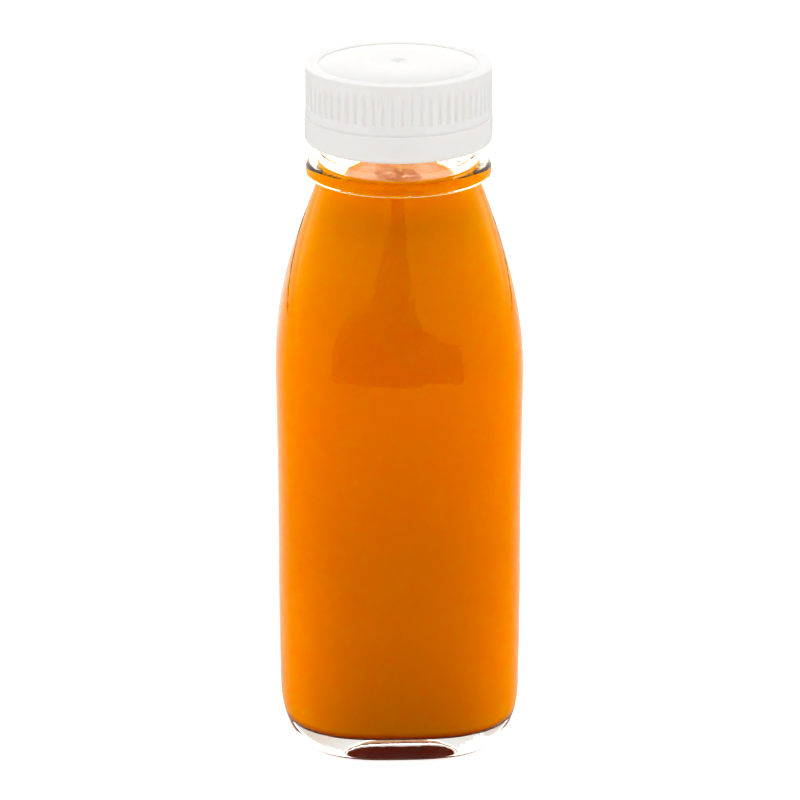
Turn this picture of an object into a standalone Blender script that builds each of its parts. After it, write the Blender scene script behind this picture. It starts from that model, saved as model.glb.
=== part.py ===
"""A small square-shouldered glass juice bottle with its drink and a white screw cap.

The base stands on the XY plane with its centre at the origin, +Z is up, and lengths are metres.
"""

import math

import bmesh
import bpy
from mathutils import Matrix

MM = 0.001

# Heights above the table. Those of the closure and the neck are given as drops from the cap's rim.
RIM_TOP = 157.25 * MM
CAP_SPLIT = RIM_TOP - 10.75 * MM
BAND_BOTTOM = RIM_TOP - 17.0 * MM
BEAD_MIDDLE = RIM_TOP - 23.05 * MM
SHOULDER_TOP = RIM_TOP - 24.6 * MM
LIQUID_LEVEL = SHOULDER_TOP
SHOULDER_LENGTH = 44.0 * MM
BODY_TOP = SHOULDER_TOP - SHOULDER_LENGTH
BODY_FOOT = 34.0 * MM
HEEL_HEIGHT = 12.4 * MM

# Half widths of the glass, from the axis to the middle of a side.
NECK_RADIUS = 17.3 * MM
BORE_RADIUS = 12.5 * MM
BEAD_RADIUS = 20.3 * MM
BEAD_NOSE = 1.1 * MM
BEAD_HALF_HEIGHT = 1.35 * MM
BEAD_FILLET = 0.4 * MM
BODY_HALF = 27.6 * MM
WAIST_DEPTH = 0.15 * MM
FOOT_TAPER = 0.35 * MM
HEEL_WIDTH = 6.8 * MM
BEARING_WIDTH = 3.3 * MM
PUSH_UP = 3.6 * MM
PUSH_UP_CURVE = 4.0

# The wall, the floor and the inner corner between them.
NECK_WALL = NECK_RADIUS - BORE_RADIUS
BODY_WALL = 2.4 * MM
WALL_EVEN_OUT = 42.0 * MM
FLOOR_HEIGHT = 6.85 * MM
FLOOR_DOME = 0.2 * MM
INNER_HEEL = 3.5 * MM
INNER_HEEL_HEIGHT = 5.6 * MM
LIP_ROUND = 0.8 * MM

# How square a section is: 2 is a circle, and a higher power has tighter corners.
ROUND = 2.0
OUTER_POWER = 3.0
INNER_POWER = 3.2
PUSH_UP_POWER = 9.0
SQUARING_LENGTH = 34.0 * MM

# The cap and its tamper band.
CAP_RADIUS = 20.3 * MM
BAND_RADIUS = 20.5 * MM
SKIRT_BORE = 18.6 * MM
RIM_INNER = 17.3 * MM
PANEL_FLAT = 8.0 * MM
PANEL_RISE = 0.6 * MM
DISH_RADIUS = 7.1 * MM
DISH_DEPTH = 0.15 * MM
RIM_ROUND = 0.5 * MM
TOP_THICKNESS = 1.6 * MM
BAND_ROUND = 1.1 * MM
BAND_LIP_HEIGHT = 0.9 * MM
BAND_LIP_SLOPE = 0.6 * MM
RIB_COUNT = 62
GROOVE_TOP = RIM_TOP - 1.3 * MM
GROOVE_BOTTOM = RIM_TOP - 8.9 * MM
GROOVE_DEPTH = 0.5 * MM
GROOVE_DEPTH_TOP = 0.06 * MM

GAP = 0.3 * MM
FACETS = 56
TURNED_FACETS = RIB_COUNT
SHOULDER_STEPS = 9
BODY_STEPS = 3
ROUND_STEPS = 4


def clear_scene():
    for thing in list(bpy.data.objects):
        bpy.data.objects.remove(thing, do_unlink=True)


def new_collection(name, parent):
    group = bpy.data.collections.new(name)
    parent.children.link(group)
    return group


def material(name, colour, roughness, transmission=0.0, ior=1.5):
    made = bpy.data.materials.new(name)
    made.use_nodes = True
    shader = made.node_tree.nodes["Principled BSDF"]
    shader.inputs["Base Color"].default_value = (*colour, 1.0)
    shader.inputs["Roughness"].default_value = roughness
    shader.inputs["Metallic"].default_value = 0.0
    shader.inputs["Transmission Weight"].default_value = transmission
    shader.inputs["IOR"].default_value = ior
    return made


def steps(start, end, count):
    """The numbers from start to end, both included, in this many equal steps."""
    return [start + (end - start) * i / count for i in range(count + 1)]


def smooth(fraction):
    """An even S-curve from 0 to 1."""
    t = min(max(fraction, 0.0), 1.0)
    return t * t * (3.0 - 2.0 * t)


def outer_half(height):
    """Half width of the glass outside, up to the foot of the neck and without the round heel."""
    drop = SHOULDER_TOP - height
    if drop < SHOULDER_LENGTH:
        rise = math.sin(0.5 * math.pi * drop / SHOULDER_LENGTH)
        return NECK_RADIUS + (BODY_HALF - NECK_RADIUS) * rise
    if height > BODY_FOOT:
        along = (BODY_TOP - height) / (BODY_TOP - BODY_FOOT)
        return BODY_HALF - WAIST_DEPTH * math.sin(math.pi * along) ** 2
    return BODY_HALF - FOOT_TAPER * (1.0 - height / BODY_FOOT) ** 2


def wall(height):
    """The wall is thick in the neck and evens out down the shoulder."""
    thin = smooth((SHOULDER_TOP - height) / WALL_EVEN_OUT)
    return NECK_WALL + (BODY_WALL - NECK_WALL) * thin


def power(height, full):
    """Sections turn from a circle at the neck to a rounded square down the shoulder."""
    return ROUND + (full - ROUND) * smooth((SHOULDER_TOP - height) / SQUARING_LENGTH)


def inner_half(height, clearance=0.0):
    return outer_half(height) - wall(height) - clearance


def side_heights(bottom):
    """Heights down the shoulder and the body to this height, closer together on the shoulder."""
    shoulder = steps(SHOULDER_TOP, BODY_TOP, SHOULDER_STEPS)
    body = steps(BODY_TOP, BODY_FOOT, BODY_STEPS)
    foot = steps(BODY_FOOT, bottom, BODY_STEPS - 1)
    return shoulder + body[1:] + foot[1:]


def base_stations():
    """Half width, height and power along the underside and up round the heel."""
    foot = outer_half(0.0) - HEEL_WIDTH
    inner_edge = foot - BEARING_WIDTH
    made = [(0.0, PUSH_UP, ROUND)]
    for along in (0.35, 0.6, 0.75, 0.88, 1.0):
        height = PUSH_UP * (1.0 - along**PUSH_UP_CURVE)
        made.append((inner_edge * along, height, PUSH_UP_POWER))
    for turn in steps(0.0, 0.5 * math.pi, ROUND_STEPS + 1):
        height = HEEL_HEIGHT * (1.0 - math.cos(turn))
        half = outer_half(height) - HEEL_WIDTH * (1.0 - math.sin(turn))
        made.append((half, height, OUTER_POWER))
    return made


def bead_stations():
    """Up over the ring under the cap, which has a round nose."""
    centre = BEAD_RADIUS - BEAD_NOSE
    made = []
    for turn in steps(-0.5 * math.pi, 0.5 * math.pi, ROUND_STEPS):
        half = centre + BEAD_NOSE * math.cos(turn)
        made.append((half, BEAD_MIDDLE + BEAD_HALF_HEIGHT * math.sin(turn), ROUND))
    made.append((NECK_RADIUS, BEAD_MIDDLE + BEAD_HALF_HEIGHT + BEAD_FILLET, ROUND))
    return made


def cavity_stations(clearance):
    """Down the inside from the foot of the neck and across the floor to its middle."""
    floor = FLOOR_HEIGHT + clearance
    made = []
    for height in side_heights(FLOOR_HEIGHT + INNER_HEEL_HEIGHT):
        made.append((inner_half(height, clearance), height, power(height, INNER_POWER)))
    for turn in steps(0.0, 0.5 * math.pi, ROUND_STEPS)[1:]:
        height = floor + INNER_HEEL_HEIGHT * (1.0 - math.sin(turn))
        half = inner_half(height, clearance) - INNER_HEEL * (1.0 - math.cos(turn))
        made.append((half, height, INNER_POWER))
    edge = made[-1][0]
    for along in steps(1.0, 0.0, ROUND_STEPS)[1:]:
        height = floor + FLOOR_DOME * (1.0 - smooth(along))
        made.append((edge * along, height, ROUND + (INNER_POWER - ROUND) * along))
    return made


def bottle_stations():
    """The whole glass: under the base, up the outside, over the lip and down the inside."""
    lip = RIM_TOP - TOP_THICKNESS - GAP
    outside = []
    for height in reversed(side_heights(HEEL_HEIGHT)):
        outside.append((outer_half(height), height, power(height, OUTER_POWER)))
    top = []
    for radius, side in ((NECK_RADIUS - LIP_ROUND, 1.0), (BORE_RADIUS + LIP_ROUND, -1.0)):
        turns = steps(0.0, 0.5 * math.pi, 2)
        if side < 0.0:
            turns.reverse()
        for turn in turns:
            half = radius + side * LIP_ROUND * math.cos(turn)
            top.append((half, lip - LIP_ROUND * (1.0 - math.sin(turn)), ROUND))
    return base_stations() + outside[1:] + bead_stations() + top + cavity_stations(0.0)


def section_point(angle, half, height, square):
    """A point of a rounded square, in the direction of this angle from the axis."""
    across = abs(math.cos(angle)) ** square + abs(math.sin(angle)) ** square
    reach = half / across ** (1.0 / square)
    return (reach * math.cos(angle), reach * math.sin(angle), height)


def loft(name, stations, facets):
    """A closed mesh through the sections. A section of no width is a single point."""
    shape = bmesh.new()
    rings = []
    for half, height, square in stations:
        if half == 0.0:
            rings.append([shape.verts.new((0.0, 0.0, height))])
            continue
        turns = [2.0 * math.pi * i / facets for i in range(facets)]
        rings.append([shape.verts.new(section_point(t, half, height, square)) for t in turns])
    for ring, following in zip(rings, rings[1:]):
        for i in range(facets):
            j = (i + 1) % facets
            if len(ring) == 1:
                shape.faces.new((ring[0], following[i], following[j]))
            elif len(following) == 1:
                shape.faces.new((ring[i], ring[j], following[0]))
            else:
                shape.faces.new((ring[i], ring[j], following[j], following[i]))
    return finish_mesh(name, shape)


def finish_mesh(name, shape):
    bmesh.ops.recalc_face_normals(shape, faces=shape.faces)
    mesh = bpy.data.meshes.new(name)
    shape.to_mesh(mesh)
    shape.free()
    mesh.shade_smooth()
    mesh.set_sharp_from_angle(angle=math.radians(40.0))
    return mesh


def add_object(name, mesh, group, finish):
    made = bpy.data.objects.new(name, mesh)
    made.data.materials.append(finish)
    group.objects.link(made)
    return made


def juice_stations():
    """The drink fills the cavity from its level down."""
    return [(0.0, LIQUID_LEVEL, ROUND)] + cavity_stations(GAP)


def turned(name, profile, group, finish):
    """A profile in the XZ plane turned about the Z axis."""
    mesh = bpy.data.meshes.new(name)
    edges = [(i, i + 1) for i in range(len(profile) - 1)]
    mesh.from_pydata([(radius, 0.0, height) for radius, height in profile], edges, [])
    made = add_object(name, mesh, group, finish)
    screw = made.modifiers.new("turn", "SCREW")
    screw.steps = TURNED_FACETS
    screw.render_steps = TURNED_FACETS
    screw.use_merge_vertices = True
    screw.merge_threshold = 0.01 * MM
    return made


def quarter(centre_radius, centre_height, size, start, count):
    """Points of a quarter circle, turning clockwise from this angle in degrees."""
    made = []
    for turn in steps(start, start - 90.0, count):
        angle = math.radians(turn)
        along = size * math.cos(angle)
        made.append((centre_radius + along, centre_height + size * math.sin(angle)))
    return made


def cap_profile():
    """From the middle of the top, out over the rim, down the skirt and back up inside."""
    panel = RIM_TOP + PANEL_RISE
    dish = panel - DISH_DEPTH
    made = [(0.0, dish), (DISH_RADIUS - DISH_DEPTH, dish), (DISH_RADIUS, panel)]
    for along in steps(0.0, 1.0, ROUND_STEPS):
        radius = PANEL_FLAT + (RIM_INNER - PANEL_FLAT) * along
        made.append((radius, RIM_TOP + PANEL_RISE * (1.0 - along**2)))
    made += quarter(CAP_RADIUS - RIM_ROUND, RIM_TOP - RIM_ROUND, RIM_ROUND, 90.0, 3)
    made += [(CAP_RADIUS, CAP_SPLIT), (SKIRT_BORE, CAP_SPLIT)]
    made += [(SKIRT_BORE, RIM_TOP - TOP_THICKNESS), (0.0, RIM_TOP - TOP_THICKNESS)]
    return made


def band_profile():
    """The tamper band, with a lip inside that turns in to the neck under it."""
    top = CAP_SPLIT - GAP
    lip_bore = NECK_RADIUS + GAP
    lip_top = BAND_BOTTOM + BAND_LIP_HEIGHT
    made = [(SKIRT_BORE, top), (BAND_RADIUS, top)]
    made += quarter(BAND_RADIUS - BAND_ROUND, BAND_BOTTOM + BAND_ROUND, BAND_ROUND, 0.0, 3)
    made += [(lip_bore, BAND_BOTTOM), (lip_bore, lip_top)]
    made += [(SKIRT_BORE, lip_top + BAND_LIP_SLOPE), (SKIRT_BORE, top)]
    return made


def groove_cutters(group):
    """One tapered four-sided cutter for each groove, its edge towards the axis."""
    shape = bmesh.new()
    depth = GROOVE_TOP - GROOVE_BOTTOM
    bmesh.ops.create_cone(
        shape,
        cap_ends=True,
        segments=4,
        radius1=GROOVE_DEPTH,
        radius2=GROOVE_DEPTH_TOP,
        depth=depth,
    )
    mesh = finish_mesh("groove", shape)
    for i in range(RIB_COUNT):
        cutter = bpy.data.objects.new(f"groove_{i:02d}", mesh)
        out = Matrix.Translation((CAP_RADIUS, 0.0, GROOVE_BOTTOM + 0.5 * depth))
        turn = 2.0 * math.pi * (i + 0.5) / RIB_COUNT
        cutter.matrix_world = Matrix.Rotation(turn, 4, "Z") @ out
        cutter.hide_render = True
        cutter.display_type = "WIRE"
        group.objects.link(cutter)


def build():
    clear_scene()
    scene_group = bpy.context.scene.collection
    parts = new_collection("glass_juice_bottle", scene_group)
    cutters = new_collection("cutters", scene_group)
    glass = material("soda lime glass", (0.93, 0.96, 0.95), 0.02, 1.0, 1.52)
    drink = material("orange juice", (0.80, 0.25, 0.01), 0.12)
    plastic = material("white polyethylene", (0.86, 0.85, 0.83), 0.4)
    add_object("bottle", loft("bottle", bottle_stations(), FACETS), parts, glass)
    add_object("juice", loft("juice", juice_stations(), FACETS), parts, drink)
    cap = turned("cap", cap_profile(), parts, plastic)
    turned("tamper_band", band_profile(), parts, plastic)
    groove_cutters(cutters)
    cut = cap.modifiers.new("grooves", "BOOLEAN")
    cut.operation = "DIFFERENCE"
    cut.operand_type = "COLLECTION"
    cut.collection = cutters


build()
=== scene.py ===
# %% [markdown]
# A small glass bottle of orange juice
#
# The bottle is one blow-moulded piece of clear glass, round at the neck and a rounded square
# at the body. It is full of cloudy juice and shut by a white ribbed screw cap whose tamper band
# stays on the neck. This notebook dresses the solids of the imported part: it reads their sizes,
# makes a fine mesh for each piece in the same place, and gives each its material.
# All lengths are metres, and MM turns millimetres into them.

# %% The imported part
import math

import bmesh
import bpy
import numpy as np
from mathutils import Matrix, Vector


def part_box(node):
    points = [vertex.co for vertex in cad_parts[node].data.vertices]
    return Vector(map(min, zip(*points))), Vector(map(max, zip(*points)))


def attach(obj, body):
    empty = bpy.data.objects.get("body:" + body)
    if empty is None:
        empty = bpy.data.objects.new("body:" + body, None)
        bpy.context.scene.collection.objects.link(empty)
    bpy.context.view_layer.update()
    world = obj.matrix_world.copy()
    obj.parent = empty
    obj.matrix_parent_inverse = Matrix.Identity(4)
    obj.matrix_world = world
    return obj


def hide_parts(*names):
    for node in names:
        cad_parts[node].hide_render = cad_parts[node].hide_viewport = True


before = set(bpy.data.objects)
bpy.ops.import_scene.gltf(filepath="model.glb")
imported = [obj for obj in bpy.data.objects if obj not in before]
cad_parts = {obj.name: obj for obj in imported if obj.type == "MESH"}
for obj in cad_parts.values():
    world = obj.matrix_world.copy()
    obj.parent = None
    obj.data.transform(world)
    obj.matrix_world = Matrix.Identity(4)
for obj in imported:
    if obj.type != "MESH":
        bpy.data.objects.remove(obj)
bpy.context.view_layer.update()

MM = 0.001
print("nodes:", sorted(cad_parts))

# %% [markdown]
# Sizes
#
# Heights that the solids already hold are read from their boxes, so the fine meshes can't drift
# from them. The sizes inside an outline, such as the wall, don't show in a box. They stand in
# the cells that first need them, and most are the ones that the part was drawn with. Some differ
# a little, because the render then comes nearer to the photograph: the push-up, the ring that
# the bottle stands on, the underside of the bead, and the rim, the top and the grooves of
# the cap.

# %% Sizes read from the solids
PANEL_RISE = 0.6 * MM  # the middle of the cap's top stands this much above its rim

_, glass_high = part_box("bottle")
cap_low, cap_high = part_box("cap")
band_low, band_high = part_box("tamper_band")
_, juice_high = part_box("juice")

PANEL_TOP = cap_high[2]
RIM_TOP = PANEL_TOP - PANEL_RISE
CAP_BOTTOM = cap_low[2]
CAP_RADIUS = cap_high[0]
BAND_TOP = band_high[2]
BAND_BOTTOM = band_low[2]
BAND_RADIUS = band_high[0]
GLASS_LIP = glass_high[2]
BODY_HALF = glass_high[0]
LIQUID_LEVEL = juice_high[2]
print(f"rim {RIM_TOP / MM:.1f} mm, body {2 * BODY_HALF / MM:.1f} mm across")

# %% [markdown]
# Profiles
#
# A turned shape needs one outline. This body isn't turned, because its sections change from a
# circle to a rounded square, so each height has two numbers: how wide the section is, and
# its power. The curve |x|^p + |y|^p = w^p is a circle at p = 2 and squarer above that, and it
# has no seam between flat and corner, which is what keeps the reflections smooth.

# %% Small helpers for outlines
def steps(start, end, count):
    """The numbers from start to end, both included, in this many equal steps."""
    return [start + (end - start) * i / count for i in range(count + 1)]


def smooth(fraction):
    """An even S-curve from 0 to 1."""
    t = min(max(fraction, 0.0), 1.0)
    return t * t * (3.0 - 2.0 * t)


# %% The outline of the glass
SHOULDER_TOP = LIQUID_LEVEL
SHOULDER_LENGTH = 44.0 * MM
BODY_TOP = SHOULDER_TOP - SHOULDER_LENGTH
BODY_FOOT = 34.0 * MM
NECK_RADIUS = 17.3 * MM
WAIST_DEPTH = 0.15 * MM
FOOT_TAPER = 0.35 * MM


def outer_half(height):
    """Half width of the glass outside, without the round heel."""
    drop = SHOULDER_TOP - height
    if drop < SHOULDER_LENGTH:
        rise = math.sin(0.5 * math.pi * drop / SHOULDER_LENGTH)
        return NECK_RADIUS + (BODY_HALF - NECK_RADIUS) * rise
    if height > BODY_FOOT:
        along = (BODY_TOP - height) / (BODY_TOP - BODY_FOOT)
        return BODY_HALF - WAIST_DEPTH * math.sin(math.pi * along) ** 2
    return BODY_HALF - FOOT_TAPER * (1.0 - height / BODY_FOOT) ** 2


# %% The wall and the power of the sections
BORE_RADIUS = 12.5 * MM
BODY_WALL = 2.4 * MM
WALL_EVEN_OUT = 42.0 * MM
ROUND = 2.0
OUTER_POWER = 3.0
INNER_POWER = 3.2
SQUARING_LENGTH = 34.0 * MM


def wall(height):
    """The wall is thick in the neck and evens out down the shoulder."""
    thin = smooth((SHOULDER_TOP - height) / WALL_EVEN_OUT)
    neck_wall = NECK_RADIUS - BORE_RADIUS
    return neck_wall + (BODY_WALL - neck_wall) * thin


def power(height, full):
    """Sections turn from a circle at the neck to a rounded square down the shoulder."""
    return ROUND + (full - ROUND) * smooth((SHOULDER_TOP - height) / SQUARING_LENGTH)


def side_heights(bottom, fine):
    """Heights down the shoulder and the body to this height."""
    shoulder = steps(SHOULDER_TOP, BODY_TOP, 3 * fine)
    body = steps(BODY_TOP, BODY_FOOT, 2 * fine)
    foot = steps(BODY_FOOT, bottom, fine)
    return shoulder + body[1:] + foot[1:]


print(f"wall {wall(SHOULDER_TOP) / MM:.1f} mm at the neck, {wall(BODY_TOP) / MM:.1f} mm below")

# %% [markdown]
# The skin between sections
#
# Every piece here is a stack of closed rings. One function turns such a stack into a mesh
# with NumPy: it works out all the points at once, and joins each ring to the next with
# four-sided faces. A stack that starts or ends on the axis is closed by a fan. A stack may run
# up or down, so the faces are turned outward at the end if the volume comes out negative.

# %% A mesh from rings
def rings_to_mesh(name, rings, closed_low=None, closed_high=None, loop=False):
    """rings is an array of (ring, point, xyz). The ends are points on the axis, or left open."""
    count, around, _ = rings.shape
    points = rings.reshape(-1, 3)
    near = np.arange(around)
    far = np.roll(near, -1)
    faces = []
    last = count if loop else count - 1
    for i in range(last):
        a = i * around
        b = (i + 1) % count * around
        faces += np.stack([a + near, a + far, b + far, b + near], 1).tolist()
    extra = []
    for end, ring in ((closed_low, 0), (closed_high, count - 1)):
        if end is None:
            continue
        centre = len(points) + len(extra)
        extra.append((0.0, 0.0, end))
        a = ring * around
        pair = (near, far) if ring else (far, near)
        faces += [(a + int(p), a + int(q), centre) for p, q in zip(*pair)]
    if extra:
        points = np.vstack([points, extra])
    mesh = bpy.data.meshes.new(name)
    mesh.from_pydata(points.tolist(), [], faces)
    mesh.validate()
    shape = bmesh.new()
    shape.from_mesh(mesh)
    if shape.calc_volume(signed=True) < 0.0:
        bmesh.ops.reverse_faces(shape, faces=shape.faces)
        shape.to_mesh(mesh)
    shape.free()
    mesh.shade_smooth()
    made = bpy.data.objects.new(name, mesh)
    bpy.context.scene.collection.objects.link(made)
    print(f"{name}: {len(points)} points, {len(faces)} faces")
    return made


# %% Two kinds of rings
def squared_rings(stations, around):
    """Rings of a rounded square from rows of half width, height and power."""
    half, height, square = np.array(stations).T[:, :, None]
    turn = np.linspace(0.0, 2.0 * math.pi, around, endpoint=False)[None, :]
    across = np.abs(np.cos(turn)) ** square + np.abs(np.sin(turn)) ** square
    reach = half / across ** (1.0 / square)
    return np.stack([reach * np.cos(turn), reach * np.sin(turn), height + 0.0 * turn], 2)


def turned_rings(profile, around):
    """Rings of a turned shape from rows of radius and height, and the angle of each point."""
    radius, height = np.array(profile).T[:, :, None]
    turn = np.linspace(0.0, 2.0 * math.pi, around, endpoint=False)[None, :]
    turn = turn + 0.0 * radius
    rings = np.stack([radius * np.cos(turn), radius * np.sin(turn), height + 0.0 * turn], 2)
    return rings, turn


# %% [markdown]
# The glass
#
# The real bottle was blown in a mould, so its outside is crisp and its inside is only as even
# as the cooling glass left it: thick in the neck and at the heel.
# It could be an outer skin with a Solidify modifier, but that makes one even wall, and
# the thick heel and neck are what bend the light. So the mesh goes all the way round: under
# the base, up the outside, over the lip and down the inside. The next cells make one
# stretch each.
#
# The underside is pushed up in the middle, so that the bottle stands on a ring and doesn't
# rock. It has steep sides and a nearly level middle, so its outline is a high power of the
# distance from the axis. What it and the thick heel bend towards the eye is the brown lens at
# the foot of the bottle. The heel is a quarter of an ellipse.

# %% The underside and the heel
FINE = 16  # steps along each stretch of an outline
HEEL_HEIGHT = 12.4 * MM
HEEL_WIDTH = 6.8 * MM
BEARING_WIDTH = 3.8 * MM
PUSH_UP = 3.6 * MM
PUSH_UP_CURVE = 5.0
PUSH_UP_POWER = 12.0
HEEL_STEPS = FINE + 8


def base_stations():
    """Half width, height and power along the underside and up round the heel."""
    foot = outer_half(0.0) - HEEL_WIDTH
    inner_edge = foot - BEARING_WIDTH
    made = []
    for along in steps(0.0, 1.0, FINE)[1:]:
        height = PUSH_UP * (1.0 - along**PUSH_UP_CURVE)
        made.append((inner_edge * along, height, PUSH_UP_POWER))
    for turn in steps(0.0, 0.5 * math.pi, HEEL_STEPS):
        height = HEEL_HEIGHT * (1.0 - math.cos(turn))
        half = outer_half(height) - HEEL_WIDTH * (1.0 - math.sin(turn))
        made.append((half, height, OUTER_POWER))
    return made


# %% [markdown]
# The bead
#
# The bead is the ring of glass under the cap, by which machines hold the hot bottle. It is
# round above and nearly square below, and that matters to the eye: a round underside mirrors
# the white tent in a broad band, and a squarer one leaves only the thin pale line of the
# photograph. A torus joined to the neck would be round on both sides. Here a power on sine and
# cosine turns the lower quarter of an ellipse into nearly a square.

# %% The bead
BEAD_MIDDLE = RIM_TOP - 23.05 * MM
BEAD_RADIUS = 20.3 * MM
BEAD_NOSE = 1.1 * MM
BEAD_HALF_HEIGHT = 1.35 * MM
BEAD_UNDER = 0.3  # 1 is a round underside, and 0 a square one
BEAD_FILLET = 0.4 * MM
BEAD_CORNER = 0.05 * MM
BEND_STEPS = 6  # rings round a small fillet or edge


def bead_stations():
    """Up over the bead: a tight corner, the nose, and a fillet into the neck."""
    low = BEAD_MIDDLE - BEAD_HALF_HEIGHT
    high = BEAD_MIDDLE + BEAD_HALF_HEIGHT
    centre = BEAD_RADIUS - BEAD_NOSE
    made = []
    for turn in steps(0.0, 0.5 * math.pi, BEND_STEPS):
        half = NECK_RADIUS + BEAD_CORNER * (1.0 - math.cos(turn))
        made.append((half, low - BEAD_CORNER * (1.0 - math.sin(turn)), ROUND))
    for turn in steps(0.5 * math.pi, 0.0, 2 * BEND_STEPS)[:-1]:
        half = centre + BEAD_NOSE * math.cos(turn) ** BEAD_UNDER
        made.append((half, BEAD_MIDDLE - BEAD_HALF_HEIGHT * math.sin(turn) ** BEAD_UNDER, ROUND))
    for turn in steps(0.0, 0.5 * math.pi, FINE // 2):
        half = centre + BEAD_NOSE * math.cos(turn)
        made.append((half, BEAD_MIDDLE + BEAD_HALF_HEIGHT * math.sin(turn), ROUND))
    for turn in steps(0.5 * math.pi, 0.0, BEND_STEPS):
        half = NECK_RADIUS + BEAD_FILLET * (1.0 - math.cos(turn))
        made.append((half, high + BEAD_FILLET * (1.0 - math.sin(turn)), ROUND))
    return made


# %% The neck and the lip
LIP_ROUND = 0.8 * MM
NECK_RINGS = 8
EDGE_GAP = 0.1 * MM  # close rings at both ends keep the shading of a straight stretch straight


def straight(radius, start, end):
    """A straight stretch of the neck, up or down."""
    near = EDGE_GAP if end > start else -EDGE_GAP
    inner = steps(start + 2.0 * near, end - 2.0 * near, NECK_RINGS)
    return [(radius, height, ROUND) for height in [start + near] + inner + [end - near]]


def lip_stations():
    """Over the round lip, from the outside of the neck to the bore."""
    made = []
    for turn in steps(0.0, 0.5 * math.pi, BEND_STEPS):
        half = NECK_RADIUS - LIP_ROUND * (1.0 - math.cos(turn))
        made.append((half, GLASS_LIP - LIP_ROUND * (1.0 - math.sin(turn)), ROUND))
    for turn in steps(0.5 * math.pi, 0.0, BEND_STEPS):
        half = BORE_RADIUS + LIP_ROUND * (1.0 - math.cos(turn))
        made.append((half, GLASS_LIP - LIP_ROUND * (1.0 - math.sin(turn)), ROUND))
    return made


# %% The inside of the glass
FLOOR_HEIGHT = 6.85 * MM
FLOOR_DOME = 0.2 * MM
INNER_HEEL = 3.5 * MM
INNER_HEEL_HEIGHT = 5.6 * MM


def cavity_stations(clearance):
    """Down the inside from the foot of the neck and across the floor to its middle."""
    floor = FLOOR_HEIGHT + clearance
    made = []
    for height in side_heights(FLOOR_HEIGHT + INNER_HEEL_HEIGHT, FINE):
        half = outer_half(height) - wall(height) - clearance
        made.append((half, height, power(height, INNER_POWER)))
    for turn in steps(0.0, 0.5 * math.pi, FINE)[1:]:
        height = floor + INNER_HEEL_HEIGHT * (1.0 - math.sin(turn))
        half = outer_half(height) - wall(height) - clearance
        made.append((half - INNER_HEEL * (1.0 - math.cos(turn)), height, INNER_POWER))
    edge = made[-1][0]
    for along in steps(1.0, 0.0, FINE)[1:-1]:
        height = floor + FLOOR_DOME * (1.0 - smooth(along))
        made.append((edge * along, height, ROUND + (INNER_POWER - ROUND) * along))
    return made


# %% The glass mesh
GLASS_FACETS = 256

outside = []
for height in reversed(side_heights(HEEL_HEIGHT, FINE)):
    outside.append((outer_half(height), height, power(height, OUTER_POWER)))
neck_foot = BEAD_MIDDLE + BEAD_HALF_HEIGHT + BEAD_FILLET
neck_end = GLASS_LIP - LIP_ROUND
glass_stations = base_stations() + outside[1:-1] + bead_stations()
glass_stations += straight(NECK_RADIUS, neck_foot, neck_end) + lip_stations()
glass_stations += straight(BORE_RADIUS, neck_end, SHOULDER_TOP) + cavity_stations(0.0)
glass = rings_to_mesh(
    "glass_bottle",
    squared_rings(glass_stations, GLASS_FACETS),
    closed_low=PUSH_UP,
    closed_high=FLOOR_HEIGHT + FLOOR_DOME,
)

# %% [markdown]
# The juice
#
# The juice wets the glass, so no air lies between them. Two faces that lie on each other
# would fight, so the juice reaches a twentieth of a millimetre into the wall: a ray
# that enters the glass then meets juice and never the inner skin of the glass. At the top the
# surface creeps up the wall in a small meniscus.

# %% The juice mesh
INTO_WALL = 0.05 * MM
MENISCUS_HEIGHT = 0.5 * MM
MENISCUS_REACH = 0.56 * MM


def surface_stations():
    """From near the axis out over the flat surface and up the meniscus."""
    rim = BORE_RADIUS + INTO_WALL
    made = []
    for along in steps(0.0, 1.0, 3 * FINE)[1:]:
        radius = rim * along
        climb = math.exp(-(rim - radius) / MENISCUS_REACH)
        made.append((radius, LIQUID_LEVEL + MENISCUS_HEIGHT * climb, ROUND))
    return made


juice = rings_to_mesh(
    "orange_juice",
    squared_rings(surface_stations() + cavity_stations(-INTO_WALL), GLASS_FACETS),
    closed_low=LIQUID_LEVEL,
    closed_high=FLOOR_HEIGHT + FLOOR_DOME - INTO_WALL,
)

# %% [markdown]
# The cap
#
# The cap is moulded polyethylene. Fine upright grooves give grip: between them the ribs are
# flush with the skirt, and each groove fades in under the rim and ends square above
# the split. The solid part has them cut by a ring of cutters and a Boolean, but that leaves
# long thin faces that shade badly. Here the skirt is one grid, and a formula pulls its points in.

# %% The grooves
RIB_COUNT = 62
POINTS_PER_RIB = 14
GROOVE_TOP = RIM_TOP - 1.3 * MM
GROOVE_BOTTOM = RIM_TOP - 8.9 * MM
GROOVE_DEPTH = 0.40 * MM
GROOVE_SHARE = 0.50
GROOVE_END = 0.35 * MM
GROOVE_RUN_IN = 2.8 * MM
GROOVE_FLATNESS = 0.8  # below 1 the floor of the groove is flatter than a parabola


def groove_depth(height, turn):
    """How far a point of the skirt lies below the ribs."""
    place = (turn * RIB_COUNT / (2.0 * math.pi)) % 1.0
    from_middle = np.abs(place - 0.5) / (0.5 * GROOVE_SHARE)
    cross = np.clip(1.0 - from_middle**2, 0.0, 1.0) ** GROOVE_FLATNESS
    down = np.clip((GROOVE_TOP - height) / GROOVE_RUN_IN, 0.0, 1.0)
    end = np.clip((height - GROOVE_BOTTOM) / GROOVE_END, 0.0, 1.0)
    return GROOVE_DEPTH * cross * down * end**0.5


# %% [markdown]
# The outline of the cap
#
# The top is a shallow cushion: level in the middle, where a faint ring and a small dent round
# the injection point show, then falling to just under the raised rim. The step up to the rim
# is what draws the thin line round the top. A turned outline gives all of this at once, while
# a cylinder with bevels would need the cushion, the ring and the dent cut in one by one.

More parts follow.
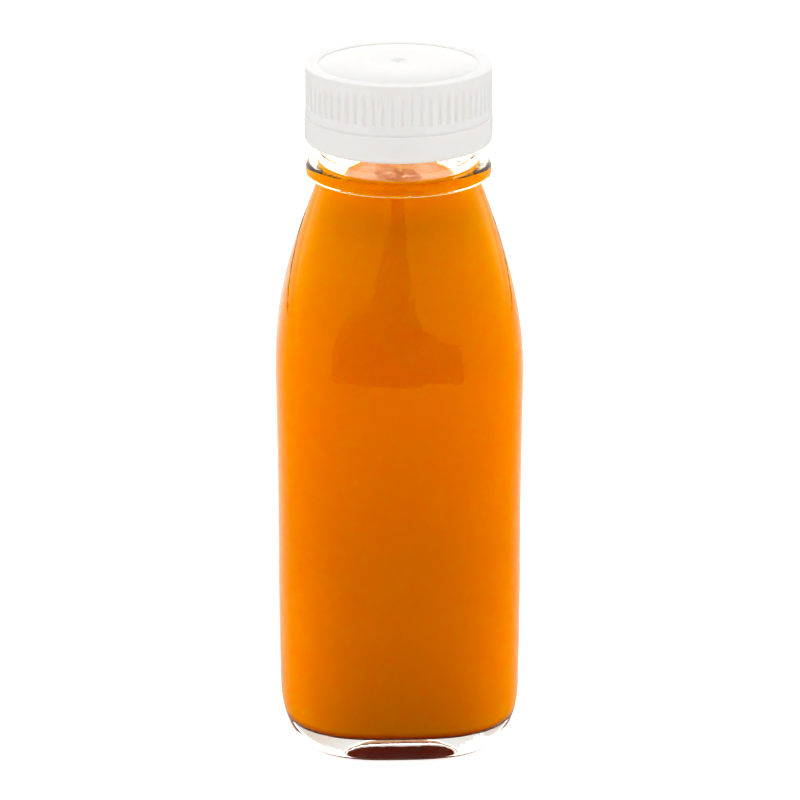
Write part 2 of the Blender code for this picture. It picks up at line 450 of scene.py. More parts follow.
# %% The outline of the cap
SKIRT_BORE = 18.6 * MM
TOP_THICKNESS = 1.6 * MM
RIM_INNER = 17.3 * MM
RIM_ROUND = 0.3 * MM
RIM_STEP = 0.22 * MM
PANEL_FLAT = 9.0 * MM
DISH_RADIUS = 7.1 * MM
DISH_EDGE = 1.0 * MM
DISH_DEPTH = 0.05 * MM
GATE_RADIUS = 2.0 * MM
GATE_DEPTH = 0.30 * MM
EDGE_ROUND = 0.03 * MM
SKIRT_RINGS = 60  # close enough for the grooves to start and end cleanly


def panel_profile():
    """The top from near its middle out to the inside of the rim."""
    dish = PANEL_TOP - DISH_DEPTH
    made = []
    for along in steps(0.0, 1.0, 16)[1:]:
        dent = GATE_DEPTH * math.sin(math.pi * along) ** 2
        made.append((GATE_RADIUS * along, dish - dent))
    made += [(r, dish) for r in steps(GATE_RADIUS, DISH_RADIUS - DISH_EDGE, 8)[1:]]
    for along in steps(0.0, 1.0, 6)[1:]:
        radius = DISH_RADIUS + DISH_EDGE * (along - 1.0)
        made.append((radius, dish + DISH_DEPTH * smooth(along)))
    made.append((PANEL_FLAT, PANEL_TOP))
    drop = PANEL_RISE + RIM_STEP
    for along in steps(0.0, 1.0, 24)[1:]:
        radius = PANEL_FLAT + (RIM_INNER - PANEL_FLAT) * along
        made.append((radius, PANEL_TOP - drop * along**3))
    return made


def cap_profile():
    """Out over the top and the rim, down the skirt and back up inside."""
    made = panel_profile()
    for along in steps(0.0, 1.0, 5)[1:]:
        made.append((RIM_INNER + RIM_STEP * along, RIM_TOP - RIM_STEP * (1.0 - smooth(along))))
    rim_start = RIM_INNER + RIM_STEP
    made += [(r, RIM_TOP) for r in steps(rim_start, CAP_RADIUS - RIM_ROUND, 4)[1:]]
    for turn in steps(0.0, 0.5 * math.pi, 8)[1:]:
        radius = CAP_RADIUS - RIM_ROUND * (1.0 - math.sin(turn))
        made.append((radius, RIM_TOP - RIM_ROUND * (1.0 - math.cos(turn))))
    foot = CAP_BOTTOM + EDGE_ROUND
    made += [(CAP_RADIUS, h) for h in steps(RIM_TOP - RIM_ROUND, foot, SKIRT_RINGS)[1:]]
    for turn in steps(0.0, 0.5 * math.pi, 4)[1:]:
        radius = CAP_RADIUS - EDGE_ROUND * (1.0 - math.cos(turn))
        made.append((radius, foot - EDGE_ROUND * math.sin(turn)))
    made += [(SKIRT_BORE, CAP_BOTTOM), (SKIRT_BORE, RIM_TOP - TOP_THICKNESS)]
    return made


# %% The cap mesh
SKIRT_MARGIN = 0.01 * MM  # points nearer than this to the outer radius lie on the skirt

cap_rings, cap_turn = turned_rings(cap_profile(), RIB_COUNT * POINTS_PER_RIB)
on_skirt = np.hypot(cap_rings[..., 0], cap_rings[..., 1]) > CAP_RADIUS - SKIRT_MARGIN
pull = np.where(on_skirt, groove_depth(cap_rings[..., 2], cap_turn), 0.0) / CAP_RADIUS
cap_rings[..., 0] *= 1.0 - pull
cap_rings[..., 1] *= 1.0 - pull
cap = rings_to_mesh(
    "screw_cap", cap_rings, closed_low=PANEL_TOP - DISH_DEPTH, closed_high=RIM_TOP - TOP_THICKNESS
)

# %% [markdown]
# The tamper band
#
# The band is what stays on the neck when the cap is first turned. It is plain, a little
# wider than the cap, with a rounded lower edge and a lip inside that hooks under the
# neck's thread. A thin web behind the cut, which the first turn breaks, joins it to the cap,
# so the cut shows as a faint line.

# %% The tamper band mesh
BAND_ROUND = 1.1 * MM
WEB_RADIUS = 20.28 * MM
WEB_CLEARANCE = 0.01 * MM
BAND_EDGE = 0.17 * MM
BAND_LIP_HEIGHT = 0.9 * MM
BAND_LIP_SLOPE = 0.6 * MM
LIP_CLEARANCE = 0.3 * MM
BAND_FACETS = 256


def band_profile():
    """Up the web, out over the top edge, down the outside, round the foot and up inside."""
    web = CAP_BOTTOM - WEB_CLEARANCE
    made = [(WEB_RADIUS, web), (WEB_RADIUS, BAND_TOP)]
    for turn in steps(0.0, 0.5 * math.pi, 5):
        radius = BAND_RADIUS - BAND_EDGE * (1.0 - math.sin(turn))
        made.append((radius, BAND_TOP - BAND_EDGE * (1.0 - math.cos(turn))))
    high, low = BAND_TOP - BAND_EDGE, BAND_BOTTOM + BAND_ROUND
    made += [(BAND_RADIUS, h) for h in steps(high, low, 8)[1:]]
    for turn in steps(0.0, 0.5 * math.pi, 10)[1:]:
        radius = BAND_RADIUS - BAND_ROUND * (1.0 - math.cos(turn))
        made.append((radius, low - BAND_ROUND * math.sin(turn)))
    lip_bore = NECK_RADIUS + LIP_CLEARANCE
    lip_top = BAND_BOTTOM + BAND_LIP_HEIGHT
    made += [(lip_bore, BAND_BOTTOM), (lip_bore, lip_top)]
    made += [(SKIRT_BORE, lip_top + BAND_LIP_SLOPE), (SKIRT_BORE, web)]
    return made


band_rings, _ = turned_rings(band_profile(), BAND_FACETS)
band = rings_to_mesh("tamper_ring", band_rings, loop=True)

# %% [markdown]
# Materials
#
# Colours are written as sRGB hex, the way a colour picker shows them, and one function turns
# them into the linear values that shaders work in. One small function adds a node with its
# settings, its values and its links. All patterns are placed by object coordinates, which are
# metres here, so one over a size in metres is the scale that gives spots of that size.

# %% Helpers for materials
COLOUR_A, COLOUR_B, COLOUR_OUT = 6, 7, 2  # the colour sockets of a Mix node


def hex_colour(text):
    """Linear RGBA from sRGB hex."""
    parts = [int(text[i : i + 2], 16) / 255.0 for i in (0, 2, 4)]
    linear = [c / 12.92 if c <= 0.04045 else ((c + 0.055) / 1.055) ** 2.4 for c in parts]
    return (*linear, 1.0)


def add_node(tree, kind, settings=None, values=None, links=None):
    """A node with its settings, its socket values and the sockets that feed it."""
    made = tree.nodes.new(kind)
    for key, value in (settings or {}).items():
        setattr(made, key, value)
    for key, value in (values or {}).items():
        made.inputs[key].default_value = value
    for key, source in (links or {}).items():
        tree.links.new(source, made.inputs[key])
    return made


def new_material(name):
    """An empty material, its node tree and its output."""
    made = bpy.data.materials.new(name)
    made.use_nodes = True
    made.node_tree.nodes.clear()
    output = add_node(made.node_tree, "ShaderNodeOutputMaterial")
    print("material:", name)
    return made, made.node_tree, output


# %% [markdown]
# Soda-lime glass
#
# Bottles are blown from clear soda-lime glass. The mould chills the skin before it is quite
# even, and the heat that is left in it then polishes it, so the surface has no grain but a slow
# ripple, millimetres wide. The eye sees it only in the wavy edges of what the glass mirrors. It
# could be modelled, but for slopes of about a hundredth a bump is enough. At the heel it is
# drawn weaker than on the real bottle, because the thick glass there magnifies it and would
# tear the picture of the brown foot to pieces. Glass is a Principled shader with full
# transmission, no roughness and the IOR of bottle glass, 1.52.

# %% Soda-lime glass
RIPPLE_SIZE = 6.0 * MM
RIPPLE = 0.40 * MM
HEEL_RIPPLE = 0.12 * MM
RIPPLE_LOW = 9.0 * MM
RIPPLE_HIGH = 20.0 * MM
GLASS_IOR = 1.52


def flint_glass():
    """Clear container glass, fire polished, with a slow ripple that is weaker at the heel."""
    made, tree, output = new_material("soda_lime_glass")
    place = add_node(tree, "ShaderNodeTexCoord")
    parts = add_node(tree, "ShaderNodeSeparateXYZ", links={"Vector": place.outputs["Object"]})
    ripple = add_node(
        tree,
        "ShaderNodeTexNoise",
        values={"Scale": 1.0 / RIPPLE_SIZE, "Detail": 3.0, "Roughness": 0.6},
        links={"Vector": place.outputs["Object"]},
    )
    swell = add_node(
        tree,
        "ShaderNodeMapRange",
        values={
            "From Min": RIPPLE_LOW,
            "From Max": RIPPLE_HIGH,
            "To Min": HEEL_RIPPLE,
            "To Max": RIPPLE,
        },
        links={"Value": parts.outputs["Z"]},
    )
    depth = add_node(
        tree,
        "ShaderNodeMath",
        settings={"operation": "MULTIPLY"},
        links={0: ripple.outputs["Fac"], 1: swell.outputs["Result"]},
    )
    bump = add_node(
        tree,
        "ShaderNodeBump",
        values={"Strength": 0.25, "Distance": 1.0},
        links={"Height": depth.outputs["Value"]},
    )
    shader = add_node(
        tree,
        "ShaderNodeBsdfPrincipled",
        values={
            "Base Color": hex_colour("FBFDFC"),
            "Transmission Weight": 1.0,
            "Roughness": 0.0,
            "IOR": GLASS_IOR,
        },
        links={"Normal": bump.outputs["Normal"]},
    )
    tree.links.new(shader.outputs["BSDF"], output.inputs["Surface"])
    return made


# %% [markdown]
# The stippled ring
#
# The ring that a bottle stands on is stippled in the mould with small dots, so that the hot
# glass touches the belt only at points and doesn't crack. Stippled glass scatters what passes
# through it. To the eye it is a dull brown edge under the lens. It could be dots cut into the
# mesh, but they would take very many faces, so it is the same shader made rough, with a bump
# whose spots are a little under a millimetre wide. The photograph doesn't show the dots, so
# their size is a guess. Its brown is a painted tint, which clear glass lacks, for the juice that it
# blurs.

# %% The stippled ring
# Painted tint: clear glass has no brown; this stands for the juice seen blurred through the dots.
PAINTED_JUICE_TINT = "A07058"
STIPPLE_TOP = 1.8 * MM
STIPPLE_SIZE = 0.8 * MM


def stippled_glass():
    """The ring that the bottle stands on is stippled in the mould, so it scatters light."""
    made, tree, output = new_material("stippled_glass")
    place = add_node(tree, "ShaderNodeTexCoord")
    stipple = add_node(
        tree,
        "ShaderNodeTexNoise",
        values={"Scale": 1.0 / STIPPLE_SIZE, "Detail": 2.0},
        links={"Vector": place.outputs["Object"]},
    )
    bump = add_node(
        tree,
        "ShaderNodeBump",
        values={"Strength": 0.6, "Distance": 0.2 * MM},
        links={"Height": stipple.outputs["Fac"]},
    )
    shader = add_node(
        tree,
        "ShaderNodeBsdfPrincipled",
        values={
            "Base Color": hex_colour(PAINTED_JUICE_TINT),
            "Transmission Weight": 1.0,
            "Roughness": 0.5,
            "IOR": GLASS_IOR,
        },
        links={"Normal": bump.outputs["Normal"]},
    )
    tree.links.new(shader.outputs["BSDF"], output.inputs["Surface"])
    return made


# %% [markdown]
# Cloudy orange juice
#
# Juice is water full of fine pulp. Light enters, bounces from one bit to the next, loses its
# blue, and comes out orange some millimetres away, so edges glow and nothing in it is sharp.
# A volume of scattering specks would be the true model, but it is slow and noisy behind glass.
# Subsurface scattering gives the same soft glow on the surface of the mesh. Red travels
# furthest and blue hardly at all. The colour is painted deeper below than above, as painted
# shade for the lower body, which gets less light. The juice lies against glass here and not
# against air, and only the ratio of the two IORs counts then, which is 1.52 over 1.34 and so
# about 1.13. The pulp is drawn as spots of 0.8 mm, coarser than most of it is, because finer
# ones wouldn't show. A weak glow below the level stands for the light that the clear neck lets in from
# above.

# %% Cloudy orange juice
JUICE_ABOVE = "FFB41A"
# Painted shade: the lower colour and the two heights below darken the juice towards the bottom, where
# less light reaches it.
JUICE_SHADED_BELOW = "E7A11A"
BODY_SHADE_FULL_BELOW = 50.0 * MM
BODY_SHADE_GONE_ABOVE = 115.0 * MM
JUICE_REACH = (4.5, 2.4, 0.5)  # how far red, green and blue travel, in units of the scale
JUICE_SCALE = 1.0 * MM
PULP_SIZE = 0.8 * MM
PULP_CONTRAST = 0.12
JUICE_IN_GLASS_IOR = 1.13
GLOW = "FF8A00"
GLOW_LEVEL = 0.34
GLOW_BELOW = LIQUID_LEVEL - 8.0 * MM


def cloudy_juice():
    """Cloudy juice: light goes in, scatters off the pulp and comes out orange."""
    made, tree, output = new_material("cloudy_orange_juice")
    place = add_node(tree, "ShaderNodeTexCoord")
    parts = add_node(tree, "ShaderNodeSeparateXYZ", links={"Vector": place.outputs["Object"]})
    # Painted shade: this height ramp darkens the colour towards the bottom of the body.
    lower_shade_share = add_node(
        tree,
        "ShaderNodeMapRange",
        values={"From Min": BODY_SHADE_FULL_BELOW, "From Max": BODY_SHADE_GONE_ABOVE},
        links={"Value": parts.outputs["Z"]},
    )
    pulp = add_node(
        tree,
        "ShaderNodeTexNoise",
        values={"Scale": 1.0 / PULP_SIZE, "Detail": 3.0},
        links={"Vector": place.outputs["Object"]},
    )
    uneven = add_node(
        tree,
        "ShaderNodeMapRange",
        values={"To Min": -PULP_CONTRAST, "To Max": PULP_CONTRAST},
        links={"Value": pulp.outputs["Fac"]},
    )
    share = add_node(
        tree,
        "ShaderNodeMath",
        settings={"operation": "ADD", "use_clamp": True},
        links={0: lower_shade_share.outputs["Result"], 1: uneven.outputs["Result"]},
    )
    colour = add_node(
        tree,
        "ShaderNodeMix",
        settings={"data_type": "RGBA"},
        values={COLOUR_A: hex_colour(JUICE_SHADED_BELOW), COLOUR_B: hex_colour(JUICE_ABOVE)},
        links={"Factor": share.outputs["Value"]},
    )
    glow = add_node(
        tree,
        "ShaderNodeMapRange",
        values={"From Min": GLOW_BELOW, "From Max": LIQUID_LEVEL, "To Max": GLOW_LEVEL},
        links={"Value": parts.outputs["Z"]},
    )
    shader = add_node(
        tree,
        "ShaderNodeBsdfPrincipled",
        values={
            "Roughness": 0.25,
            "IOR": JUICE_IN_GLASS_IOR,
            "Subsurface Weight": 1.0,
            "Subsurface Radius": JUICE_REACH,
            "Subsurface Scale": JUICE_SCALE,
            "Emission Color": hex_colour(GLOW),
        },
        links={
            "Base Color": colour.outputs[COLOUR_OUT],
            "Emission Strength": glow.outputs["Result"],
        },
    )
    tree.links.new(shader.outputs["BSDF"], output.inputs["Surface"])
    return made


# %% [markdown]
# The foot of the juice
#
# The thick heel looks clear, and not orange, for a reason that a plain shader misses. Juice
# bends light less than glass does, so light that meets it from inside the glass at a low angle
# is mirrored whole. A Fresnel node with the ratio of the two IORs, which is under one, says at
# which angles that happens, and it mixes a mirror with the juice. Where the eye looks down
# steeply it sees the juice itself, with painted shade on its floor: dark brown for the unlit
# underside of the juice. That is the dark lens at the foot. Packed pulp is taken to bend light a
# little more than thin juice, so the IOR at the floor is 1.38 and not 1.34.

# %% The foot of the juice
# Painted shade: dark brown on the floor of the juice, for its unlit underside.
PAINTED_FLOOR_SHADE = "C04C14"
FLOOR_SHADE_LOW = FLOOR_HEIGHT + 0.3 * MM
FLOOR_SHADE_HIGH = FLOOR_HEIGHT + 2.5 * MM
FOOT_TOP = FLOOR_HEIGHT + INNER_HEEL_HEIGHT
PULP_IOR = 1.38
GLASS_TO_JUICE = PULP_IOR / GLASS_IOR


def juice_foot():
    """Juice seen through the heel: a mirror at low angles, and painted brown shade on its floor."""
    made, tree, output = new_material("juice_foot")
    place = add_node(tree, "ShaderNodeTexCoord")
    parts = add_node(tree, "ShaderNodeSeparateXYZ", links={"Vector": place.outputs["Object"]})
    # Painted shade: dark brown at the floor, fading into the juice colour above.
    floor_shade_fade = add_node(
        tree,
        "ShaderNodeMapRange",
        settings={"interpolation_type": "SMOOTHSTEP"},
        values={"From Min": FLOOR_SHADE_LOW, "From Max": FLOOR_SHADE_HIGH},
        links={"Value": parts.outputs["Z"]},
    )
    colour = add_node(
        tree,
        "ShaderNodeMix",
        settings={"data_type": "RGBA"},
        values={COLOUR_A: hex_colour(PAINTED_FLOOR_SHADE), COLOUR_B: hex_colour(JUICE_SHADED_BELOW)},
        links={"Factor": floor_shade_fade.outputs["Result"]},
    )
    shader = add_node(
        tree,
        "ShaderNodeBsdfPrincipled",
        values={
            "Roughness": 0.9,
            "Specular IOR Level": 0.0,
            "Subsurface Weight": 1.0,
            "Subsurface Radius": JUICE_REACH,
            "Subsurface Scale": JUICE_SCALE,
        },
        links={"Base Color": colour.outputs[COLOUR_OUT]},
    )
    mirror = add_node(
        tree,
        "ShaderNodeBsdfAnisotropic",
        values={"Color": hex_colour("FFFFFF"), "Roughness": 0.03},
    )
    low_angle = add_node(tree, "ShaderNodeFresnel", values={"IOR": GLASS_TO_JUICE})
    whole = add_node(
        tree,
        "ShaderNodeMixShader",
        links={
            0: low_angle.outputs["Fac"],
            1: shader.outputs["BSDF"],
            2: mirror.outputs["BSDF"],
        },
    )
    tree.links.new(whole.outputs["Shader"], output.inputs["Surface"])
    return made


# %% [markdown]
# The free surface
#
# Above the level there is air, so the juice shows its real wet skin, with the IOR of water
# with a little sugar in it, 1.34. Pulp and the last bubbles of filling gather in the middle in
# a patchy scum, pinker and duller than the juice. One noise pattern, thinned out away from the
# middle, sets both the colour and the roughness. Its patches are 1.2 mm wide, coarser than real
# bubbles, because finer ones wouldn't show. Light that the clear neck lets in falls on the
# surface, and a weak emission stands for it.

# %% The free surface
SCUM = "E89050"
SCUM_SIZE = 1.2 * MM
# The pattern thins out from 4 to 8 mm from the axis, measured from the origin at the base.
SCUM_INNER = math.hypot(LIQUID_LEVEL, 4.0 * MM)
SCUM_OUTER = math.hypot(LIQUID_LEVEL, 8.0 * MM)
SCUM_THINNING = 0.4
SCUM_FROM = 0.42
SCUM_FULL = 0.58
LIT_FROM_ABOVE = "FFB894"
LIT_LEVEL = 0.44


def wet_surface():
    """The top of the juice under air: a smooth wet skin with a scum of pulp and fine bubbles."""
    made, tree, output = new_material("juice_surface")
    place = add_node(tree, "ShaderNodeTexCoord")
    scum = add_node(
        tree,
        "ShaderNodeTexNoise",
        values={"Scale": 1.0 / SCUM_SIZE, "Detail": 4.0, "Roughness": 0.7},
        links={"Vector": place.outputs["Object"]},
    )
    from_middle = add_node(
        tree,
        "ShaderNodeVectorMath",
        settings={"operation": "LENGTH"},
        links={0: place.outputs["Object"]},
    )
    gathered = add_node(
        tree,
        "ShaderNodeMapRange",
        settings={"interpolation_type": "SMOOTHSTEP"},
        values={"From Min": SCUM_INNER, "From Max": SCUM_OUTER, "To Max": SCUM_THINNING},
        links={"Value": from_middle.outputs["Value"]},
    )
    left = add_node(
        tree,
        "ShaderNodeMath",
        settings={"operation": "SUBTRACT"},
        links={0: scum.outputs["Fac"], 1: gathered.outputs["Result"]},
    )
    patches = add_node(
        tree,
        "ShaderNodeMapRange",
        settings={"interpolation_type": "SMOOTHSTEP"},
        values={"From Min": SCUM_FROM, "From Max": SCUM_FULL},
        links={"Value": left.outputs["Value"]},
    )
    colour = add_node(
        tree,
        "ShaderNodeMix",
        settings={"data_type": "RGBA"},
        values={COLOUR_A: hex_colour(JUICE_ABOVE), COLOUR_B: hex_colour(SCUM)},
        links={"Factor": patches.outputs["Result"]},
    )
    dull = add_node(
        tree,
        "ShaderNodeMapRange",
        values={"To Min": 0.25, "To Max": 0.7},
        links={"Value": patches.outputs["Result"]},
    )
    shader = add_node(
        tree,
        "ShaderNodeBsdfPrincipled",
        values={
            "IOR": 1.34,
            "Subsurface Weight": 1.0,
            "Subsurface Radius": JUICE_REACH,
            "Subsurface Scale": JUICE_SCALE,
            "Emission Color": hex_colour(LIT_FROM_ABOVE),
            "Emission Strength": LIT_LEVEL,
        },
        links={
            "Base Color": colour.outputs[COLOUR_OUT],
            "Roughness": dull.outputs["Result"],
        },
    )
    tree.links.new(shader.outputs["BSDF"], output.inputs["Surface"])
    return made


# %% [markdown]
# White polyethylene
#
# Cap and band are injection-moulded high-density polyethylene, coloured white. Such a mould is
# usually eroded with fine sparks, so the surface is satin: highlights are broad and soft. Light goes a
# little way in, which softens the edges of the ribs. That depth is kept small here, because
# light that goes further is lost between cap and band, and leaves a dark seam there. A mould
# texture of this kind is some hundredths of a millimetre wide, too fine to show, so it is
# drawn at 0.25 mm.

# %% White polyethylene
POLYETHYLENE = "F3F2F0"
GRAIN_SIZE = 0.25 * MM


def moulded_polyethylene(name):
    """White HDPE with a satin mould finish: soft highlights and a little light inside."""
    made, tree, output = new_material(name)
    place = add_node(tree, "ShaderNodeTexCoord")
    grain = add_node(
        tree,
        "ShaderNodeTexNoise",
        values={"Scale": 1.0 / GRAIN_SIZE, "Detail": 2.0},
        links={"Vector": place.outputs["Object"]},
    )
    bump = add_node(
        tree,
        "ShaderNodeBump",
        values={"Strength": 0.1, "Distance": 0.02 * MM},
        links={"Height": grain.outputs["Fac"]},
    )
    shader = add_node(
        tree,
        "ShaderNodeBsdfPrincipled",
        values={
            "Base Color": hex_colour(POLYETHYLENE),
            "Roughness": 0.28,
            "IOR": 1.5,
            "Subsurface Weight": 1.0,
            "Subsurface Radius": (1.2, 1.1, 1.0),
            "Subsurface Scale": 0.10 * MM,
        },
        links={"Normal": bump.outputs["Normal"]},
    )
    tree.links.new(shader.outputs["BSDF"], output.inputs["Surface"])
    return made


# %% [markdown]
# Dressing the pieces
#
# Each mesh stands for one solid of the part and takes its slot. One mesh may carry several
# materials, and its faces then say by their height which one they wear: the glass is stippled
# at the very bottom, and the juice has its wet surface on top and its foot at the floor. One
# mesh with several materials has no gap between them, which separate pieces would have.

# %% Dressing the pieces
SHARP_ANGLE = math.radians(40.0)
SURFACE_FROM = LIQUID_LEVEL - 0.05 * MM


def dress(piece, material, node):
    """The piece takes its material, its body and the solid that it stands for."""
    piece.data.materials.append(material)
    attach(piece, "root")
    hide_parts(node)


cap.data.set_sharp_from_angle(angle=SHARP_ANGLE)
band.data.set_sharp_from_angle(angle=SHARP_ANGLE)
dress(glass, flint_glass(), "bottle")
glass.data.materials.append(stippled_glass())
for face in glass.data.polygons:
    if face.center.z < STIPPLE_TOP:
        face.material_index = 1
dress(juice, cloudy_juice(), "juice")
juice.data.materials.append(wet_surface())
juice.data.materials.append(juice_foot())
for face in juice.data.polygons:
    if face.center.z > SURFACE_FROM:
        face.material_index = 1
    elif face.center.z < FOOT_TOP:
        face.material_index = 2
dress(cap, moulded_polyethylene("cap_polyethylene"), "cap")
dress(band, moulded_polyethylene("band_polyethylene"), "tamper_band")

# %% [markdown]
# The studio
#
# A bottle of juice is photographed like this inside a white tent, on a white table that is lit
# from below so that hardly any shadow shows. The table ends 40 cm in front of the bottle, and
# the tent is open there for the camera. The glass mirrors that dark opening as a tall shape on
# the shoulder. The tent could be mesh walls that emit, but a world colour that depends on
# direction does the same with less noise.

# %% Flat pieces of the studio
def flat_sheet(name, corners, colour):
    """A flat matt piece of the studio."""
    mesh = bpy.data.meshes.new(name)
    mesh.from_pydata(corners, [], [tuple(range(len(corners)))])
    made = bpy.data.objects.new(name, mesh)
    bpy.context.scene.collection.objects.link(made)
    material, tree, output = new_material(name)
    shader = add_node(
        tree,
        "ShaderNodeBsdfPrincipled",
        values={
            "Base Color": hex_colour(colour),
            "Roughness": 0.9,
            "Specular IOR Level": 0.0,
        },
    )
    tree.links.new(shader.outputs["BSDF"], output.inputs["Surface"])
    made.data.materials.append(material)
    return made


def only_mirrored(card):
    """The card shows in what the bottle mirrors, and neither to the camera nor as a shade."""
    card.visible_camera = False
    card.visible_diffuse = False
    card.visible_transmission = False
    card.visible_shadow = False


# %% [markdown]
# The table
#
# To the camera the table is plain white, lit from below. In the photograph the foot of the
# juice is also bright at both sides, while its middle stays deep orange. So the lamps glow for
# rays that have come through glass too, but only at the sides: not in the strip that the bottle
# stands in, most strongly a few centimetres beside it, and weaker further out.

# %% The table
TABLE_SIDE = 1.5
TABLE_FRONT = 0.40
TABLE_BACK = 2.5
TABLE_GLOW = 0.80
TABLE_SIDE_GLOW = 4.2
# How far to the side the glow starts, is full and is faint, and what is left of it there.
GLOW_STARTS = 0.02
GLOW_FULL = 0.06
GLOW_FAINT = 0.15
FAINT_SHARE = 0.25


def light_from_below(tree):
    """The lamps under the table: full for the camera, and at the sides for what lies in glass."""
    path = add_node(tree, "ShaderNodeLightPath")
    place = add_node(tree, "ShaderNodeTexCoord")
    parts = add_node(tree, "ShaderNodeSeparateXYZ", links={"Vector": place.outputs["Object"]})
    aside = add_node(
        tree,
        "ShaderNodeMath",
        settings={"operation": "ABSOLUTE"},
        links={0: parts.outputs["X"]},
    )
    side = add_node(
        tree,
        "ShaderNodeMapRange",
        values={"From Min": GLOW_STARTS, "From Max": GLOW_FULL, "To Max": TABLE_SIDE_GLOW},
        links={"Value": aside.outputs["Value"]},
    )
    fading = add_node(
        tree,
        "ShaderNodeMapRange",
        values={
            "From Min": GLOW_FULL,
            "From Max": GLOW_FAINT,
            "To Min": 1.0,
            "To Max": FAINT_SHARE,
        },
        links={"Value": aside.outputs["Value"]},
    )
    lamps = add_node(
        tree,
        "ShaderNodeMath",
        settings={"operation": "MULTIPLY"},
        links={0: side.outputs["Result"], 1: fading.outputs["Result"]},
    )
    through = add_node(
        tree,
        "ShaderNodeMath",
        settings={"operation": "MULTIPLY"},
        links={0: path.outputs["Is Transmission Ray"], 1: lamps.outputs["Value"]},
    )
    seen = add_node(
        tree,
        "ShaderNodeMath",
        settings={"operation": "MULTIPLY_ADD"},
        values={1: TABLE_GLOW},
        links={0: path.outputs["Is Camera Ray"], 2: through.outputs["Value"]},
    )
    shader = tree.nodes["Principled BSDF"]
    shader.inputs["Emission Color"].default_value = hex_colour("FFFFFF")
    tree.links.new(seen.outputs["Value"], shader.inputs["Emission Strength"])


table_corners = [
    (-TABLE_SIDE, -TABLE_FRONT, 0.0),
    (TABLE_SIDE, -TABLE_FRONT, 0.0),
    (TABLE_SIDE, TABLE_BACK, 0.0),
    (-TABLE_SIDE, TABLE_BACK, 0.0),
]
table = flat_sheet("white_table", table_corners, "FFFFFF")
light_from_below(table.active_material.node_tree)

# %% [markdown]
# The dark opening
#
# In the glass the opening is wide below, as far as the table's edge, and narrow above, where
# the tent leaves only a slit over the camera. One black card of that outline stands behind
# the camera. The camera doesn't see it, and the bottle does.

# %% The dark card
CARD_DISTANCE = 0.95
OPENING = [
    (-0.74, -0.50), (0.55, -0.50), (0.55, 0.09), (0.42, 0.11), (0.167, 0.14), (0.10, 0.19),
    (0.07, 0.285), (0.09, 0.45), (0.10, 1.20), (-0.19, 1.20), (-0.19, 0.32), (-0.57, 0.315),
    (-0.74, 0.10),
]
BLACK_CARD = "080808"
opening_corners = [(x, -CARD_DISTANCE, z) for x, z in OPENING]
opening = flat_sheet("black_card", opening_corners, BLACK_CARD)
only_mirrored(opening)

# %% [markdown]
# The dark edge of the glass
#
# Clear glass has no outline before a white wall, so a photographer puts a black strip behind
# it, out of the picture. Here the strip stands on the table and is hidden from the camera. The
# shoulder mirrors it as a thin dark line just inside its outline. The upright sides look down
# at the table and don't show it.

# %% The black strip
STRIP_DISTANCE = 0.47
STRIP_HALF = 0.50
STRIP_LOW = -0.006
STRIP_HIGH = 0.008
strip_corners = [
    (-STRIP_HALF, STRIP_DISTANCE, STRIP_LOW),
    (STRIP_HALF, STRIP_DISTANCE, STRIP_LOW),
    (STRIP_HALF, STRIP_DISTANCE, STRIP_HIGH),
    (-STRIP_HALF, STRIP_DISTANCE, STRIP_HIGH),
]
strip = flat_sheet("black_strip", strip_corners, BLACK_CARD)
only_mirrored(strip)

# %% [markdown]
# The tent
#
# For the juice and for what the glass mirrors, the cloth is darker in front, where the camera
# is, and brighter at the sides and behind. That is why the juice glows at its edges and is deep
# orange in the middle. The cap is lit a little more from the front. A photographer would get
# this with small cards that shade one thing from a lamp. Here each kind of ray meets the cloth
# at its own level instead. Three numbers are the levels in front, at the sides and behind, and
# the one with TOP is what is added straight above.

# %% The tent
WALL_LEVEL = 1.30
CLOTH = (0.95, 0.85, 0.75)
CLOTH_TOP = 0.17
MIRRORED = (0.95, 1.05, 1.60)
MIRRORED_TOP = -0.40
JUICE_LIGHT = (0.0, 1.92, 2.00)
JUICE_TOP = 0.88


def walls(tree, parts, levels, above):
    """The level of the cloth by direction, as the sum of three straight changes."""
    front, side, back = levels
    total = None
    for axis, start, end, low, high in (
        ("Y", -1.0, 0.0, front, side),
        ("Y", 0.0, 1.0, 0.0, back - side),
        ("Z", 0.0, 1.0, 0.0, above),
    ):
        change = add_node(
            tree,
            "ShaderNodeMapRange",
            values={"From Min": start, "From Max": end, "To Min": low, "To Max": high},
            links={"Value": parts.outputs[axis]},
        )
        if total is None:
            total = change.outputs["Result"]
            continue
        both = add_node(
            tree,
            "ShaderNodeMath",
            settings={"operation": "ADD"},
            links={0: total, 1: change.outputs["Result"]},
        )
        total = both.outputs["Value"]
    return total


def light_tent():
    """White all round, with its own levels for each kind of ray."""
    world = bpy.data.worlds.new("light_tent")
    bpy.context.scene.world = world
    world.use_nodes = True
    tree = world.node_tree
    tree.nodes.clear()
    output = add_node(tree, "ShaderNodeOutputWorld")
    place = add_node(tree, "ShaderNodeTexCoord")
    parts = add_node(
        tree, "ShaderNodeSeparateXYZ", links={"Vector": place.outputs["Generated"]}
    )
    path = add_node(tree, "ShaderNodeLightPath")
    level = walls(tree, parts, CLOTH, CLOTH_TOP)
    for test, levels, above in (
        ("Is Glossy Ray", MIRRORED, MIRRORED_TOP),
        ("Is Transmission Ray", JUICE_LIGHT, JUICE_TOP),
        ("Is Camera Ray", (WALL_LEVEL, WALL_LEVEL, WALL_LEVEL), 0.0),
    ):
        chosen = walls(tree, parts, levels, above)
        choice = add_node(
            tree,
            "ShaderNodeMix",
            settings={"data_type": "FLOAT"},
            links={"Factor": path.outputs[test], "A": level, "B": chosen},
        )
        level = choice.outputs["Result"]
    light = add_node(
        tree,
        "ShaderNodeBackground",
        values={"Color": hex_colour("FFFFFF")},
        links={"Strength": level},
    )
    tree.links.new(light.outputs["Background"], output.inputs["Surface"])
    print(f"tent: {len(tree.nodes)} nodes")


light_tent()

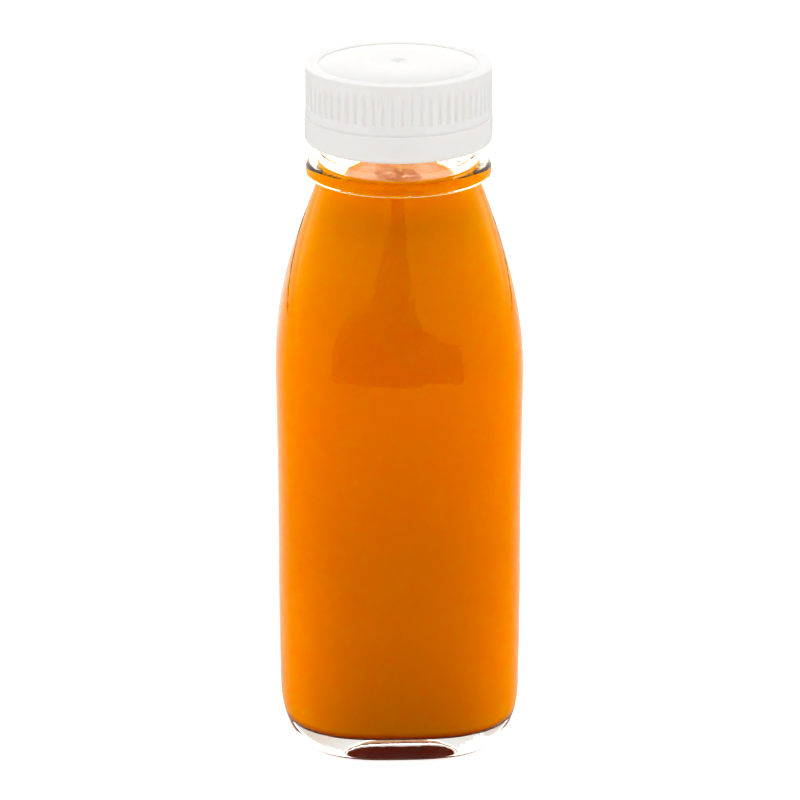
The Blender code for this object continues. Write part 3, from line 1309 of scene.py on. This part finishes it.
# %% [markdown]
# The camera
#
# The lens is long, so the sides of the body stay almost parallel. The camera stands 650 mm from
# the cap, a little to the left of the flat front, and looks down on it.

# %% Camera
CAMERA_DISTANCE = 650.0 * MM
CAMERA_ELEVATION = math.radians(14.38)
CAMERA_YAW = math.radians(-2.18)
CAMERA_PITCH = math.radians(20.753)
FOCAL_PIXELS = 2995.0
FRAME_PIXELS = 800.0
SENSOR = 36.0
SIDE_SHIFT = 0.3 * MM
AIM_HEIGHT = LIQUID_LEVEL + 24.0 * MM

lens = bpy.data.cameras.new("camera")
lens.sensor_width = SENSOR
lens.lens = SENSOR * FOCAL_PIXELS / FRAME_PIXELS
camera = bpy.data.objects.new("camera", lens)
bpy.context.scene.collection.objects.link(camera)
flat = CAMERA_DISTANCE * math.cos(CAMERA_ELEVATION)
camera.location = Vector(
    (
        flat * math.sin(CAMERA_YAW) + SIDE_SHIFT,
        -flat * math.cos(CAMERA_YAW),
        AIM_HEIGHT + CAMERA_DISTANCE * math.sin(CAMERA_ELEVATION),
    )
)
camera.rotation_euler = (0.5 * math.pi - CAMERA_PITCH, 0.0, CAMERA_YAW)
bpy.context.scene.camera = camera
bpy.context.scene.view_settings.view_transform = "Standard"
print(f"lens {lens.lens:.1f} mm")

# %% [markdown]
# The colours of the photograph
#
# The photograph was developed with strong colours: its oranges hold no blue at all,
# although the glass over them mirrors white cloth. The compositor does the same. Its
# saturation leaves white and grey as they are, and its gamma leaves white and black alone and
# deepens what lies between.

# %% Stronger colours
SATURATION = 1.15
CONTRAST = 1.3

bpy.context.scene.use_nodes = True
finish_tree = bpy.context.scene.node_tree
finish_tree.nodes.clear()
picture = add_node(finish_tree, "CompositorNodeRLayers")
vivid = add_node(
    finish_tree,
    "CompositorNodeHueSat",
    values={"Saturation": SATURATION},
    links={"Image": picture.outputs["Image"]},
)
contrast = add_node(
    finish_tree,
    "CompositorNodeGamma",
    values={"Gamma": CONTRAST},
    links={"Image": vivid.outputs["Image"]},
)
add_node(finish_tree, "CompositorNodeComposite", links={"Image": contrast.outputs["Image"]})
print(f"saturation {SATURATION}, gamma {CONTRAST}")
